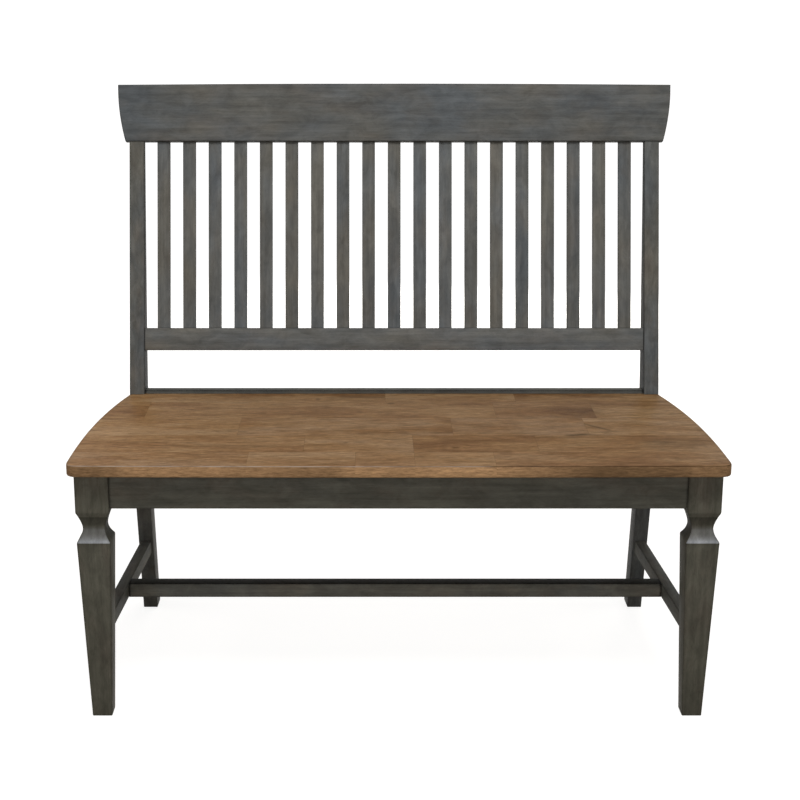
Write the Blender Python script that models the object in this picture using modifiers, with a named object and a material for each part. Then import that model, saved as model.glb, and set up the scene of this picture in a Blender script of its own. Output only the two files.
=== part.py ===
"""Slat-back dining bench: a panel seat on four legs, with a raked back of upright slats.

Metres, +Z up. X runs along the bench and the sitter faces -Y. The origin is on the floor, under the
middle of the bench's overall box. The left side is the one at -X, as seen from the front.

Every rail is a board with shouldered tenons. The mortises are cut by bars that follow the same lines as
the tenons, a fit wider all round, so a leg, rail or slat that changes size takes its joints with it.
"""

import math

import bmesh
import bpy
from mathutils import Matrix, Vector

# Fits and edges
FIT = 0.0003                    # gap between pieces that meet
EASE = 0.0015                   # rounding of the arrises of the frame
EASE_SEGMENTS = 2
MERGE_DISTANCE = 0.00001

# Seat panel
SEAT_HEIGHT = 0.457             # floor to the top of the panel
SEAT_THICKNESS = 0.020
SEAT_SIDE_OVERHANG = 0.0083     # past the front legs' outer faces
SEAT_FRONT_OVERHANG = 0.033     # past the front legs' front faces, at the middle of the edge
SEAT_FRONT_BOW = 0.003          # how far the front edge falls back towards its ends
SEAT_CORNER_RADIUS = 0.020
SEAT_EDGE_ROUND = 0.0025
SEAT_SIDE_POWER = 2.5           # how late the sides start to draw in towards the back
SEAT_SIDE_STEPS = 16
SEAT_FRONT_STEPS = 8
SEAT_CORNER_STEPS = 5

# Front legs
FRONT_SPREAD = 1.054            # across the outer faces of the front legs
LEG_BLOCK = 0.0555              # square section at the top
LEG_FOOT = 0.0333               # square section at the floor
BLOCK_DROP = 0.0062             # block below the apron
COVE_HEIGHT = 0.0514
COVE_DEPTH = 0.0096
COVE_NECK = 0.554               # share of the cove's height that lies above its neck
COVE_POWER_ABOVE = 1.45         # roundness of the cove above the neck: 1 straight, 2 an arc
COVE_POWER_BELOW = 1.95
COVE_STEPS = 12
LEG_EDGE_REACH = 0.0015         # the block's lower edge and the shoulder are rounded over this run

# Rear legs, each sawn in one piece from floor to crest rail
BACK_SPREAD = 0.9858            # across the outer faces of the rear legs
SEAT_RAIL_DEPTH = 0.4175        # from the front legs' front faces to the rear legs' front faces
POST_WIDTH = 0.0275
POST_DEPTH = 0.0525             # at the seat
POST_TOP_DEPTH = 0.018          # at the crest rail
REAR_FOOT_DEPTH = 0.042
FLAT_BOTTOM = 0.342             # the front face is upright from here to the seat
LEG_RAKE = math.radians(12.6)   # below the seat
BACK_RAKE = math.radians(14.67) # above the seat
POST_HOLLOW = 0.003             # hollow of the rear face above the seat
HOLLOW_STEPS = 8
BEND_REACH = 0.030              # length of each run that a bend rounds off
BEND_STEPS = 5
FRONT_BEND_REACH = 0.010        # the bend of the front face at the seat is tighter
FRONT_BEND_STEPS = 3
POST_TENON_WIDTH = 0.018
POST_TENON_THICKNESS = 0.009
POST_TENON_LENGTH = 0.032

# Aprons and the rear seat rail
APRON_HEIGHT = 0.0648
APRON_THICKNESS = 0.020
APRON_SETBACK = 0.006           # behind the faces of the front legs
APRON_TENON_LENGTH = 0.022
APRON_TENON_THICKNESS = 0.008
APRON_TENON_SHOULDER = 0.009    # above and below each tenon
SIDE_REAR_REVEAL = 0.0015       # side rails stand this far inside the rear legs' outer faces
SIDE_TENON_LENGTH = 0.010
REAR_RAIL_THICKNESS = 0.019
REAR_RAIL_SETBACK = 0.005       # behind the rear legs' front faces
REAR_RAIL_RISE = 0.0062         # above the seat
REAR_TENON_LENGTH = 0.016
REAR_TENON_OFFSET = 0.0025      # the rear rail's tenons lie nearer its back face

# Stretchers
STRETCHER_TOP = 0.1517          # above the floor
STRETCHER_HEIGHT = 0.026
STRETCHER_THICKNESS = 0.020
STRETCHER_FRONT_REVEAL = 0.0169 # inside the front legs' outer faces, at the block
STRETCHER_TENON_LENGTH = 0.014
STRETCHER_TENON_THICKNESS = 0.009
STRETCHER_TENON_SHOULDER = 0.005
CENTRE_STRETCHER_DEPTH = 0.0275
CENTRE_STRETCHER_PLACE = 0.2478 # its middle, behind the front legs' front faces
CENTRE_TENON_LENGTH = 0.010

# Back: heights here run up the slope from the seat
LOWER_RAIL_RISE = 0.0822
LOWER_RAIL_HEIGHT = 0.0415
LOWER_RAIL_THICKNESS = 0.016
LOWER_RAIL_SETBACK = 0.005
LOWER_RAIL_TENON_LENGTH = 0.016
LOWER_RAIL_TENON_THICKNESS = 0.008
LOWER_RAIL_TENON_SHOULDER = 0.006
SLAT_COUNT = 19
SLAT_LENGTH = 0.3472            # between the rails
SLAT_WIDTH = 0.0238
SLAT_THICKNESS = 0.010
SLAT_END_GAP = 0.0237           # between the outermost slats and the posts
SLAT_SETBACK = 0.001            # behind the face of the lower rail
SLAT_TENON_LENGTH = 0.012
SLAT_TENON_WIDTH = 0.0175
SLAT_TENON_THICKNESS = 0.006
CREST_HEIGHT = 0.107
CREST_THICKNESS = 0.022
CREST_PROUD = 0.002             # in front of the posts
CREST_BOTTOM_OVERHANG = 0.0074  # past the posts' outer faces
CREST_TOP_OVERHANG = 0.021
CREST_END_REACH = 0.93          # share of the height over which each end sweeps in
CREST_ARCH = 0.0022             # rise of the top edge at the middle
CREST_STEPS = 10
CREST_EASE = 0.002

# Corner blocks and screws
BLOCK_HEIGHT = 0.030
BLOCK_WING = 0.060              # along each rail
BLOCK_WING_THICKNESS = 0.013
BLOCK_FLAT = 0.020              # flat at the end of each wing, where its screw sits
SCREW_SHANK = 0.0040
SCREW_HEAD = 0.0080
SCREW_HEAD_HEIGHT = 0.0028
SCREW_TIP = 0.0040
SCREW_SIDES = 12
BLOCK_SCREW_BITE = 0.012        # length in the apron
SEAT_SCREW_BITE = 0.013         # length in the seat
SEAT_SCREW_PLACE = 0.45         # share of the way from a block's long face to its leg
SCREW_CLEARANCE = 0.0005        # all round, in its hole

# Places worked out from the sizes above
HALF_FRONT = FRONT_SPREAD / 2
HALF_BACK = BACK_SPREAD / 2
SEAT_UNDERSIDE = SEAT_HEIGHT - SEAT_THICKNESS
APRON_BOTTOM = SEAT_UNDERSIDE - APRON_HEIGHT
BLOCK_BOTTOM = APRON_BOTTOM - BLOCK_DROP
SHOULDER = BLOCK_BOTTOM - COVE_HEIGHT
FOOT_INSET = (LEG_BLOCK - LEG_FOOT) / 2
POST_BACK = SEAT_RAIL_DEPTH + POST_DEPTH
REAR_RAIL_FRONT = SEAT_RAIL_DEPTH + REAR_RAIL_SETBACK
LOWER_RAIL_TOP = LOWER_RAIL_RISE + LOWER_RAIL_HEIGHT
CREST_BOTTOM = LOWER_RAIL_TOP + SLAT_LENGTH
CREST_TOP = CREST_BOTTOM + CREST_HEIGHT
SLAT_MIDDLE = LOWER_RAIL_SETBACK + SLAT_SETBACK + SLAT_THICKNESS / 2

PALETTE = {
    "frame_stain": ((0.075, 0.078, 0.076), 0.50, 0.0),
    "seat_stain": ((0.235, 0.135, 0.070), 0.42, 0.0),
    "zinc_steel": ((0.60, 0.60, 0.58), 0.35, 1.0),
}


# Scene set-up

def clear_scene():
    for obj in list(bpy.data.objects):
        bpy.data.objects.remove(obj, do_unlink=True)


def new_collection(name):
    collection = bpy.data.collections.new(name)
    bpy.context.scene.collection.children.link(collection)
    return collection


def make_material(piece, finish):
    colour, roughness, metallic = PALETTE[finish]
    material = bpy.data.materials.new(piece + "_" + finish)
    material.use_nodes = True
    shader = material.node_tree.nodes["Principled BSDF"]
    shader.inputs["Base Color"].default_value = (*colour, 1.0)
    shader.inputs["Roughness"].default_value = roughness
    shader.inputs["Metallic"].default_value = metallic
    return material


clear_scene()
BENCH = new_collection("slat_back_bench")
CUTTERS = new_collection("cutters")


def add_piece(name, mesh, finish, parent, location=(0, 0, 0), rotation=(0, 0, 0)):
    """Place a piece under its parent. Its material is its own, also where pieces share a mesh."""
    obj = bpy.data.objects.new(name, mesh)
    BENCH.objects.link(obj)
    obj.parent = parent
    obj.location = location
    obj.rotation_euler = rotation
    if not mesh.materials:
        mesh.materials.append(None)
    slot = obj.material_slots[0]
    slot.link = "OBJECT"
    slot.material = make_material(name, finish)
    return obj


def add_cutter(name, mesh, parent, location=(0, 0, 0)):
    """Place a cutter under its parent: it shapes other pieces and is no piece itself."""
    obj = bpy.data.objects.new(name, mesh)
    CUTTERS.objects.link(obj)
    obj.parent = parent
    obj.location = location
    obj.hide_render = True
    obj.display_type = "WIRE"
    return obj


def add_empty(name, parent=None, location=(0, 0, 0), rotation=(0, 0, 0)):
    empty = bpy.data.objects.new(name, None)
    BENCH.objects.link(empty)
    empty.parent = parent
    empty.location = location
    empty.rotation_euler = rotation
    return empty


# Modifiers

def cut(obj, *cutters):
    for cutter in cutters:
        boolean = obj.modifiers.new("cut_" + cutter.name, "BOOLEAN")
        boolean.operation = "DIFFERENCE"
        boolean.solver = "EXACT"
        boolean.object = cutter


def round_marked_edges(obj, width, segments=EASE_SEGMENTS):
    """Round the edges that carry a bevel weight."""
    bevel = obj.modifiers.new("eased_edges", "BEVEL")
    bevel.limit_method = "WEIGHT"
    bevel.width = width
    bevel.segments = segments
    bevel.harden_normals = True


def mark_edges(bm, to_round):
    """Give a bevel weight to the edges that pass a test."""
    weight = bm.edges.layers.float.new("bevel_weight_edge")
    for edge in bm.edges:
        if to_round(edge):
            edge[weight] = 1.0


def edge_run(edge):
    """How far an edge runs along each axis."""
    run = edge.verts[0].co - edge.verts[1].co
    return Vector((abs(run.x), abs(run.y), abs(run.z)))


# Mesh builders

def finish_mesh(bm, name):
    bm.normal_update()
    bmesh.ops.recalc_face_normals(bm, faces=bm.faces)
    mesh = bpy.data.meshes.new(name)
    bm.to_mesh(mesh)
    bm.free()
    mesh.shade_smooth()
    mesh.set_sharp_from_angle(angle=math.radians(35))
    return mesh


def draw_tenon(bm, face, across, width, thickness, length, offset=0.0):
    """Leave a shoulder round a four-sided end face and draw its middle out into a tenon.

    The tenon's width lies along the direction across. The offset shifts it the other way.
    """
    normal = face.normal.copy()
    other = normal.cross(across)
    middle = face.calc_center_median() + other * offset
    bmesh.ops.inset_individual(bm, faces=[face], thickness=min(width, thickness) / 10)
    for vert in face.verts:
        reach = vert.co - middle
        side = math.copysign(width / 2, reach.dot(across))
        depth = math.copysign(thickness / 2, reach.dot(other))
        vert.co = middle + across * side + other * depth
    drawn = bmesh.ops.extrude_discrete_faces(bm, faces=[face])["faces"][0]
    bmesh.ops.translate(bm, verts=drawn.verts, vec=normal * length)


def box_mesh(name, size, centres=((0, 0, 0),)):
    """One box of the given size at each centre."""
    bm = bmesh.new()
    for centre in centres:
        place = Matrix.Translation(centre) @ Matrix.Diagonal((*size, 1.0))
        bmesh.ops.create_cube(bm, size=1.0, matrix=place)
    return finish_mesh(bm, name)


def board_mesh(name, length, height, thickness, tenon, shape=None):
    """Board along X, thickness in Y and height in Z, with a tenon on each end.

    The tenon is (length, height, thickness, offset in Y). A shape, if given, moves each point.
    """
    tenon_length, tenon_height, tenon_thickness, tenon_offset = tenon
    bm = bmesh.new()
    bmesh.ops.create_cube(bm, size=1.0, matrix=Matrix.Diagonal((length, thickness, height, 1.0)))
    bm.normal_update()
    mark_edges(bm, lambda edge: edge_run(edge).x > length / 2)
    for end in (-1, 1):
        face = next(f for f in bm.faces if f.normal.x * end > 0.9)
        draw_tenon(bm, face, Vector((0, 0, 1)), tenon_height, tenon_thickness, tenon_length,
                   offset=-end * tenon_offset)
    if shape:
        for vert in bm.verts:
            vert.co = shape(vert.co)
    return finish_mesh(bm, name)


def mortise_bar(name, length, tenon, shape=None):
    """Bar that cuts the mortises at both ends of a board, a fit larger than its tenons."""
    tenon_length, tenon_height, tenon_thickness, tenon_offset = tenon
    size = (length + 2 * (tenon_length + FIT), tenon_thickness + 2 * FIT, tenon_height + 2 * FIT)
    bm = bmesh.new()
    place = Matrix.Translation((0, tenon_offset, 0)) @ Matrix.Diagonal((*size, 1.0))
    bmesh.ops.create_cube(bm, size=1.0, matrix=place)
    if shape:
        for vert in bm.verts:
            vert.co = shape(vert.co)
    return finish_mesh(bm, name)


def plate(name, points, thickness):
    """Editable plate from a flat outline in X and Y, made through a filled 2D curve."""
    curve = bpy.data.curves.new(name, "CURVE")
    curve.dimensions = "2D"
    curve.fill_mode = "BOTH"
    curve.extrude = thickness / 2
    spline = curve.splines.new("POLY")
    spline.points.add(len(points) - 1)
    for point, (x, y) in zip(spline.points, points):
        point.co = (x, y, 0, 1)
    spline.use_cyclic_u = True
    guide = bpy.data.objects.new(name + "_outline", curve)
    CUTTERS.objects.link(guide)
    evaluated = guide.evaluated_get(bpy.context.evaluated_depsgraph_get())
    mesh = bpy.data.meshes.new_from_object(evaluated)
    bpy.data.objects.remove(guide)
    bm = bmesh.new()
    bm.from_mesh(mesh)
    bmesh.ops.remove_doubles(bm, verts=bm.verts, dist=MERGE_DISTANCE)
    bmesh.ops.dissolve_limit(bm, angle_limit=math.radians(0.1), verts=bm.verts, edges=bm.edges)
    bm.normal_update()
    return bm


def bend(before, corner, after, reach, steps):
    """Points that round off a corner over a reach along the runs on either side of it."""
    before, corner, after = Vector(before), Vector(corner), Vector(after)
    start = corner + (before - corner).normalized() * reach
    end = corner + (after - corner).normalized() * reach
    points = []
    for step in range(steps + 1):
        t = step / steps
        points.append(start * (1 - t) ** 2 + corner * 2 * t * (1 - t) + end * t ** 2)
    return points


def turned_mesh(name, profile):
    """Profile of (radius, height) points from top to bottom, for a Screw modifier."""
    bm = bmesh.new()
    verts = [bm.verts.new((radius, 0, height)) for radius, height in profile]
    for upper, lower in zip(verts, verts[1:]):
        bm.edges.new((upper, lower))
    mesh = bpy.data.meshes.new(name)
    bm.to_mesh(mesh)
    bm.free()
    return mesh


def turn(obj, sides):
    screw = obj.modifiers.new("turned", "SCREW")
    screw.steps = sides
    screw.render_steps = sides
    screw.use_merge_vertices = True
    screw.merge_threshold = MERGE_DISTANCE


# Lines that the side rails follow

def front_leg_rear_face(height):
    """Depth of the front legs' rear faces, which taper below the shoulder."""
    inset = FOOT_INSET * max(0.0, 1 - height / SHOULDER)
    return LEG_BLOCK - inset


def rear_leg_front_face(height):
    """Depth of the rear legs' front faces, up to the seat."""
    return SEAT_RAIL_DEPTH + math.tan(LEG_RAKE) * max(0.0, FLAT_BOTTOM - height)


def side_line(front_x, rear_x, depth):
    """Straight line in plan from the front legs' rear faces to the rear legs' front faces."""
    share = (depth - LEG_BLOCK) / (SEAT_RAIL_DEPTH - LEG_BLOCK)
    return front_x + (rear_x - front_x) * share


SIDE_REAR_X = HALF_BACK - SIDE_REAR_REVEAL
APRON_FRONT_X = HALF_FRONT - APRON_SETBACK
STRETCHER_FRONT_X = HALF_FRONT - STRETCHER_FRONT_REVEAL


def apron_inner_face(depth):
    return side_line(APRON_FRONT_X, SIDE_REAR_X, depth) - APRON_THICKNESS


def stretcher_inner_face(depth):
    return side_line(STRETCHER_FRONT_X, SIDE_REAR_X, depth) - STRETCHER_THICKNESS


# Seat

def seat_outline():
    """Front edge with a slight bow, rounded corners, and sides that draw in to the rear legs."""
    half = HALF_FRONT + SEAT_SIDE_OVERHANG
    front = -SEAT_FRONT_OVERHANG
    rear = SEAT_RAIL_DEPTH - FIT
    tongue = REAR_RAIL_FRONT - FIT
    notch = HALF_BACK - POST_WIDTH - FIT
    corner_y = front + SEAT_FRONT_BOW
    length = rear - corner_y

    def side_x(y):
        share = (y - corner_y) / length
        return half - (half - HALF_BACK) * share ** SEAT_SIDE_POWER

    def front_y(x):
        return front + SEAT_FRONT_BOW * (x / half) ** 2

    right = [Vector((notch, tongue)), Vector((notch, rear)), Vector((HALF_BACK, rear))]
    for step in range(1, SEAT_SIDE_STEPS):
        y = rear - length * (step / SEAT_SIDE_STEPS)
        if y > corner_y + SEAT_CORNER_RADIUS:
            right.append(Vector((side_x(y), y)))
    before = Vector((half, corner_y + 2 * SEAT_CORNER_RADIUS))
    after = Vector((half - 2 * SEAT_CORNER_RADIUS, front_y(half - 2 * SEAT_CORNER_RADIUS)))
    right += bend(before, (half, corner_y), after, SEAT_CORNER_RADIUS, SEAT_CORNER_STEPS)
    for step in range(1, SEAT_FRONT_STEPS):
        x = (half - SEAT_CORNER_RADIUS) * (1 - step / SEAT_FRONT_STEPS)
        right.append(Vector((x, front_y(x))))
    right.append(Vector((0, front)))
    left = [Vector((-p.x, p.y)) for p in reversed(right[:-1])]
    return right + left


def build_seat(bench):
    bm = plate("seat", seat_outline(), SEAT_THICKNESS)
    rear = SEAT_RAIL_DEPTH - 2 * FIT
    mark_edges(bm, lambda edge: edge_run(edge).z < FIT and min(v.co.y for v in edge.verts) < rear)
    seat = add_piece("seat", finish_mesh(bm, "seat"), "seat_stain", bench,
                     location=(0, 0, SEAT_HEIGHT - SEAT_THICKNESS / 2))
    round_marked_edges(seat, SEAT_EDGE_ROUND, segments=3)
    return seat


# Legs

def front_leg_profile():
    """Half width of the square leg against height, top to bottom: block, cove, shoulder and taper."""
    top = SEAT_UNDERSIDE - FIT
    half = LEG_BLOCK / 2
    cove = []
    for step in range(1, COVE_STEPS):
        share = step / COVE_STEPS
        if share < COVE_NECK:
            hollow = 1 - (1 - share / COVE_NECK) ** COVE_POWER_ABOVE
        else:
            hollow = 1 - ((share - COVE_NECK) / (1 - COVE_NECK)) ** COVE_POWER_BELOW
        cove.append(Vector((half - COVE_DEPTH * hollow, BLOCK_BOTTOM - COVE_HEIGHT * share)))
    block_edge = bend((half, top), (half, BLOCK_BOTTOM), cove[0], LEG_EDGE_REACH, EASE_SEGMENTS)
    shoulder = bend(cove[-1], (half, SHOULDER), (LEG_FOOT / 2, 0), LEG_EDGE_REACH, EASE_SEGMENTS)
    outline = [Vector((half, top))] + block_edge + cove + shoulder + [Vector((LEG_FOOT / 2, 0))]
    to_corner = math.sqrt(2)
    return [(0, top)] + [(width * to_corner, height) for width, height in outline] + [(0, 0)]


def build_front_leg(name, side, bench):
    leg = add_piece(name, turned_mesh(name, front_leg_profile()), "frame_stain", bench,
                    location=(side * (HALF_FRONT - LEG_BLOCK / 2), LEG_BLOCK / 2, 0),
                    rotation=(0, 0, math.radians(45)))
    turn(leg, 4)
    bevel = leg.modifiers.new("eased_edges", "BEVEL")
    bevel.limit_method = "ANGLE"
    bevel.angle_limit = math.radians(65)
    bevel.width = EASE
    bevel.segments = EASE_SEGMENTS
    return leg


def up_the_slope(height, depth):
    """Point in (depth, height) of the bench from a place measured up and through the raked back."""
    slope = Vector((math.sin(BACK_RAKE), math.cos(BACK_RAKE)))
    through = Vector((math.cos(BACK_RAKE), -math.sin(BACK_RAKE)))
    return Vector((SEAT_RAIL_DEPTH, SEAT_HEIGHT)) + slope * height + through * depth


def rear_leg_outline():
    """Side view of the rear leg in (depth, height), from the foot up the front and down the back."""
    shoulder = CREST_BOTTOM - FIT
    foot_front = Vector((rear_leg_front_face(0), 0))
    foot_back = Vector((foot_front.x + REAR_FOOT_DEPTH, 0))
    low_front = Vector((SEAT_RAIL_DEPTH, FLAT_BOTTOM))
    seat_front = Vector((SEAT_RAIL_DEPTH, SEAT_HEIGHT))
    top_front = up_the_slope(shoulder, 0)
    top_back = up_the_slope(shoulder, POST_TOP_DEPTH)
    seat_back = Vector((POST_BACK, SEAT_HEIGHT))
    low_back = Vector((POST_BACK, FLAT_BOTTOM))
    points = [foot_front]
    points += bend(foot_front, low_front, seat_front, BEND_REACH, BEND_STEPS)
    points += bend(low_front, seat_front, top_front, FRONT_BEND_REACH, FRONT_BEND_STEPS)
    points += [top_front, top_back]
    run = top_back - seat_back
    inward = Vector((-run.y, run.x)).normalized()
    above_seat = seat_back + run.normalized() * BEND_REACH
    run = top_back - above_seat
    for step in range(1, HOLLOW_STEPS):
        t = 1 - step / HOLLOW_STEPS
        points.append(above_seat + run * t + inward * (POST_HOLLOW * 4 * t * (1 - t)))
    points += bend(top_back, seat_back, low_back, BEND_REACH, BEND_STEPS)
    points += bend(seat_back, low_back, foot_back, BEND_REACH, BEND_STEPS)
    points.append(foot_back)
    return points


def build_rear_leg(name, side, bench):
    bm = plate(name, rear_leg_outline(), POST_WIDTH)
    # The outline is drawn flat, then stood up so that its first axis is depth and its second height
    stand_up = Matrix(((0, 0, 1), (1, 0, 0), (0, 1, 0))).to_4x4()
    bmesh.ops.transform(bm, matrix=stand_up, verts=bm.verts)
    bm.normal_update()
    slope = Vector((0, math.sin(BACK_RAKE), math.cos(BACK_RAKE)))
    top = max(bm.faces, key=lambda face: face.calc_center_median().z * (face.normal.dot(slope) > 0.99))
    top_corners = [vert.co.copy() for vert in top.verts]

    def arris(edge):
        on_shoulder = all(vert.co in top_corners for vert in edge.verts)
        on_floor = max(vert.co.z for vert in edge.verts) < FIT
        return on_floor or (edge_run(edge).x < FIT and not on_shoulder)

    mark_edges(bm, arris)
    draw_tenon(bm, top, Vector((1, 0, 0)), POST_TENON_WIDTH, POST_TENON_THICKNESS, POST_TENON_LENGTH)
    leg = add_piece(name, finish_mesh(bm, name), "frame_stain", bench,
                    location=(side * (HALF_BACK - POST_WIDTH / 2), 0, 0))
    round_marked_edges(leg, EASE)
    return leg


# Rails under the seat

def build_front_apron(bench):
    length = FRONT_SPREAD - 2 * (LEG_BLOCK + FIT)
    tenon = (APRON_TENON_LENGTH, APRON_HEIGHT - 2 * APRON_TENON_SHOULDER, APRON_TENON_THICKNESS, 0.0)
    place = (0, APRON_SETBACK + APRON_THICKNESS / 2, SEAT_UNDERSIDE - FIT - APRON_HEIGHT / 2)
    mesh = board_mesh("front_apron", length, APRON_HEIGHT, APRON_THICKNESS, tenon)
    apron = add_piece("front_apron", mesh, "frame_stain", bench, location=place)
    round_marked_edges(apron, EASE)
    bar = add_cutter("front_apron_mortises", mortise_bar("front_apron_mortises", length, tenon),
                     bench, location=place)
    return apron, bar


def build_rear_seat_rail(bench):
    length = BACK_SPREAD - 2 * (POST_WIDTH + FIT)
    height = SEAT_HEIGHT + REAR_RAIL_RISE - APRON_BOTTOM
    tenon = (REAR_TENON_LENGTH, height - 2 * APRON_TENON_SHOULDER, APRON_TENON_THICKNESS,
             REAR_TENON_OFFSET)
    place = (0, REAR_RAIL_FRONT + REAR_RAIL_THICKNESS / 2, APRON_BOTTOM + height / 2)
    mesh = board_mesh("rear_seat_rail", length, height, REAR_RAIL_THICKNESS, tenon)
    rail = add_piece("rear_seat_rail", mesh, "frame_stain", bench, location=place)
    round_marked_edges(rail, EASE)
    bar = add_cutter("rear_seat_rail_mortises", mortise_bar("rear_seat_rail_mortises", length, tenon),
                     bench, location=place)
    return rail, bar


def build_side_rail(name, side, front_x, top, height, thickness, tenon, bench):
    """Rail from a front leg to a rear leg. It follows their faces, so its ends are cut to match."""
    middle_z = top - height / 2
    length = SEAT_RAIL_DEPTH - LEG_BLOCK

    def follow_legs(point):
        z = middle_z + point.z
        start = front_leg_rear_face(z) + FIT
        end = rear_leg_front_face(z) - FIT
        share = point.x / length + 0.5
        y = start + (end - start) * share
        x = side_line(front_x, SIDE_REAR_X, y) - thickness / 2 + point.y
        return Vector((side * x, y, point.z))

    mesh = board_mesh(name, length, height, thickness, tenon, shape=follow_legs)
    rail = add_piece(name, mesh, "frame_stain", bench, location=(0, 0, middle_z))
    round_marked_edges(rail, EASE)
    bar = add_cutter(name + "_mortises", mortise_bar(name + "_mortises", length, tenon, follow_legs),
                     bench, location=(0, 0, middle_z))
    return rail, bar


def build_centre_stretcher(bench):
    """Returned is the cutter of its mortises in the side stretchers."""
    middle_z = STRETCHER_TOP - STRETCHER_HEIGHT / 2
    half = stretcher_inner_face(CENTRE_STRETCHER_PLACE)
    tenon = (CENTRE_TENON_LENGTH, STRETCHER_HEIGHT - 2 * STRETCHER_TENON_SHOULDER,
             STRETCHER_TENON_THICKNESS, 0.0)

    def meet_stretchers(point):
        y = CENTRE_STRETCHER_PLACE + point.y
        reach = stretcher_inner_face(y) - FIT
        return Vector((point.x / half * reach, point.y, point.z))

    place = (0, CENTRE_STRETCHER_PLACE, middle_z)
    mesh = board_mesh("centre_stretcher", 2 * half, STRETCHER_HEIGHT, CENTRE_STRETCHER_DEPTH, tenon,
                      shape=meet_stretchers)
    stretcher = add_piece("centre_stretcher", mesh, "frame_stain", bench, location=place)
    round_marked_edges(stretcher, EASE)
    bar_mesh = mortise_bar("centre_stretcher_mortises", 2 * half, tenon, meet_stretchers)
    bar = add_cutter("centre_stretcher_mortises", bar_mesh, bench, location=place)
    return bar


# Back, in a frame whose Z runs up the slope and whose Y runs through it

def build_lower_back_rail(back):
    length = BACK_SPREAD - 2 * (POST_WIDTH + FIT)
    tenon = (LOWER_RAIL_TENON_LENGTH, LOWER_RAIL_HEIGHT - 2 * LOWER_RAIL_TENON_SHOULDER,
             LOWER_RAIL_TENON_THICKNESS, 0.0)
    place = (0, LOWER_RAIL_SETBACK + LOWER_RAIL_THICKNESS / 2, LOWER_RAIL_RISE + LOWER_RAIL_HEIGHT / 2)
    mesh = board_mesh("lower_back_rail", length, LOWER_RAIL_HEIGHT, LOWER_RAIL_THICKNESS, tenon)
    rail = add_piece("lower_back_rail", mesh, "frame_stain", back, location=place)
    round_marked_edges(rail, EASE)
    bar = add_cutter("lower_back_rail_mortises",
                     mortise_bar("lower_back_rail_mortises", length, tenon), back, location=place)
    return rail, bar


def crest_outline():
    """Front view of the crest rail in (x, height above its own bottom edge)."""
    bottom = HALF_BACK + CREST_BOTTOM_OVERHANG
    top = HALF_BACK + CREST_TOP_OVERHANG
    sweep_height = CREST_HEIGHT * CREST_END_REACH
    right = [Vector((0, 0)), Vector((bottom, 0))]
    for step in range(1, CREST_STEPS + 1):
        height = sweep_height * step / CREST_STEPS
        left_over = 1 - step / CREST_STEPS
        right.append(Vector((top - (top - bottom) * left_over ** 2, height)))
    right.append(Vector((top, CREST_HEIGHT - CREST_ARCH)))
    for step in range(1, CREST_STEPS):
        x = top * (1 - step / CREST_STEPS)
        right.append(Vector((x, CREST_HEIGHT - CREST_ARCH * (x / top) ** 2)))
    right.append(Vector((0, CREST_HEIGHT)))
    left = [Vector((-p.x, p.y)) for p in reversed(right[1:-1])]
    return right + left


def build_crest_rail(back):
    bm = plate("crest_rail", crest_outline(), CREST_THICKNESS)
    # The outline is drawn flat, then stood up with its face to the front
    stand_up = Matrix(((1, 0, 0), (0, 0, -1), (0, 1, 0))).to_4x4()
    bmesh.ops.transform(bm, matrix=stand_up, verts=bm.verts)
    bm.normal_update()
    mark_edges(bm, lambda edge: edge_run(edge).y < FIT)
    crest = add_piece("crest_rail", finish_mesh(bm, "crest_rail"), "frame_stain", back,
                      location=(0, CREST_THICKNESS / 2 - CREST_PROUD, CREST_BOTTOM))
    round_marked_edges(crest, CREST_EASE)
    return crest


def slat_places():
    """Middles of the slats along X, evenly spaced between the end gaps."""
    inner = BACK_SPREAD - 2 * POST_WIDTH
    first = -inner / 2 + SLAT_END_GAP + SLAT_WIDTH / 2
    pitch = -2 * first / (SLAT_COUNT - 1)
    return [first + pitch * number for number in range(SLAT_COUNT)]


def build_slats(back):
    """The slats share one mesh, stood on end. Returned is the cutter of all their mortises."""
    length = SLAT_LENGTH - 2 * FIT
    tenon = (SLAT_TENON_LENGTH, SLAT_TENON_WIDTH, SLAT_TENON_THICKNESS, 0.0)

    def stand(point):
        return Vector((-point.z, point.y, point.x))

    middle_z = LOWER_RAIL_TOP + SLAT_LENGTH / 2
    mesh = board_mesh("slat", length, SLAT_WIDTH, SLAT_THICKNESS, tenon, shape=stand)
    for number, x in enumerate(slat_places(), start=1):
        slat = add_piece(f"slat_{number:02d}", mesh, "frame_stain", back,
                         location=(x, SLAT_MIDDLE, middle_z))
        round_marked_edges(slat, EASE)
    size = (SLAT_TENON_WIDTH + 2 * FIT, SLAT_TENON_THICKNESS + 2 * FIT,
            length + 2 * (SLAT_TENON_LENGTH + FIT))
    centres = [(x, SLAT_MIDDLE, middle_z) for x in slat_places()]
    return add_cutter("slat_mortises", box_mesh("slat_mortises", size, centres), back)


def build_post_mortises(back):
    size = (POST_TENON_WIDTH + 2 * FIT, POST_TENON_THICKNESS + 2 * FIT,
            2 * (POST_TENON_LENGTH + FIT))
    middle = HALF_BACK - POST_WIDTH / 2
    centres = [(side * middle, POST_TOP_DEPTH / 2, CREST_BOTTOM) for side in (-1, 1)]
    return add_cutter("post_mortises", box_mesh("post_mortises", size, centres), back)


# Corner blocks and screws

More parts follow.
